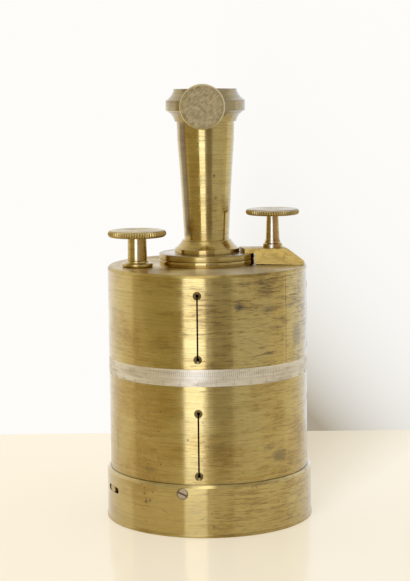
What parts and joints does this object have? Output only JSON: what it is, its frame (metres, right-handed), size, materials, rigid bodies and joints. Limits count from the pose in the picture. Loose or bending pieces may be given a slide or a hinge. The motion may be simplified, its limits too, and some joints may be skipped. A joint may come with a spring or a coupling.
{
  "type": "surveyors square",
  "caption": "Brass graduated surveyor's cross: two slit drums, one turning on the other by a milled knob, with a compass box and a staff socket with its clamp screws.",
  "frame": {"origin": "on the drum axis, at the flat outer face of the compass lid that the object stands on", "axes": "+Z along the drum axis towards the staff socket; -Y towards the side with the staff screw, which the picture shows; +X to the right of that view"},
  "size_m": [0.0836, 0.0836, 0.174],
  "materials": {
    "brass": "old lacquered brass, turned and darkened",
    "silvered": "silvered brass, matt",
    "steel": "turned steel, dark with age",
    "blued_steel": "blued steel",
    "glass": "clear"
  },
  "bodies": {
    "lid": {"compass_lid": "brass"},
    "sighting_drum": {"sighting_tube": "brass", "degree_band": "silvered", "gear_plate": "brass", "ring_gear": "brass", "gear_screws": "steel", "spindle": "steel", "spindle_washer": "steel", "spindle_nut": "brass", "compass_box": "brass", "box_screws": "steel", "compass_floor": "brass", "compass_rose": "silvered", "dial_ring": "silvered", "needle_pivot": "steel", "lever_nut": "steel", "compass_glass": "glass", "glass_bezel": "brass"},
    "fixed_drum": {"fixed_tube": "brass", "end_plate": "brass", "vernier_band": "silvered", "bearing_plate": "brass", "socket_seat": "brass", "seat_screws": "steel", "pinion_bush": "brass", "clamp_boss": "brass", "clamp_dowel": "steel"},
    "socket": {"staff_socket": "brass", "socket_washer": "steel", "socket_nut": "brass"},
    "pad": {"pressure_pad": "brass"},
    "staff_clamp": {"staff_knob": "brass", "staff_screw": "steel"},
    "clamp_arm": {"clamp_bar": "brass"},
    "clamp_turner": {"clamp_knob": "brass", "clamp_stud": "steel"},
    "pinion": {"drive_knob": "brass", "pinion_arbor": "steel", "pinion_gear": "steel", "pinion_collar": "brass", "collar_pin": "steel"},
    "lift": {"lift_ring": "brass"},
    "lever": {"lifter_lever": "brass"},
    "needle": {"needle_blade": "blued_steel", "needle_cap": "brass"}
  },
  "joints": [
    {"name": "lid_lift", "type": "slide", "parent": "lid", "child": "sighting_drum", "axis": [0, 0, 1], "range_m": [0, 0.03]},
    {"name": "drum_turn", "type": "hinge", "parent": "sighting_drum", "child": "fixed_drum", "pos_m": [0, 0, 0.0629], "axis": [0, 0, 1], "continuous": true},
    {"name": "pinion_turn", "type": "hinge", "parent": "fixed_drum", "child": "pinion", "pos_m": [-0.02768, -0.00794, 0.0629], "axis": [0, 0, 1], "continuous": true},
    {"name": "socket_turn", "type": "hinge", "parent": "fixed_drum", "child": "socket", "pos_m": [0, 0, 0.102], "axis": [0, 0, 1], "continuous": true},
    {"name": "pad_press", "type": "slide", "parent": "socket", "child": "pad", "axis": [0.0488, 0.9988, 0], "range_m": [0, 0.002]},
    {"name": "staff_screw_turn", "type": "hinge", "parent": "pad", "child": "staff_clamp", "pos_m": [-0.00073, -0.01498, 0.16524], "axis": [0.0488, 0.9988, 0], "range_deg": [0, 720]},
    {"name": "clamp_rise", "type": "slide", "parent": "fixed_drum", "child": "clamp_arm", "axis": [0, 0, 1], "range_m": [0, 0.00105]},
    {"name": "clamp_screw_turn", "type": "hinge", "parent": "clamp_arm", "child": "clamp_turner", "pos_m": [0.02637, -0.00263, 0.102], "axis": [0, 0, 1], "range_deg": [0, 540]},
    {"name": "needle_lower", "type": "slide", "parent": "sighting_drum", "child": "lift", "axis": [0, 0, 1], "range_m": [0, 0.00045]},
    {"name": "lifter_turn", "type": "hinge", "parent": "sighting_drum", "child": "lever", "pos_m": [0, 0, 0.0135], "axis": [0, 0, 1], "range_deg": [0, 4]},
    {"name": "needle_spin", "type": "hinge", "parent": "lift", "child": "needle", "pos_m": [0, 0, 0.0075], "axis": [0, 0, 1], "continuous": true}
  ],
  "couplings": [
    {"joint": "pinion_turn", "follows": "drum_turn", "ratio": -5.5714},
    {"joint": "pad_press", "follows": "staff_screw_turn", "m_per_rad": 0.00015915},
    {"joint": "clamp_rise", "follows": "clamp_screw_turn", "m_per_rad": 0.00011141},
    {"joint": "needle_lower", "follows": "lifter_turn", "m_per_rad": 0.006445}
  ]
}
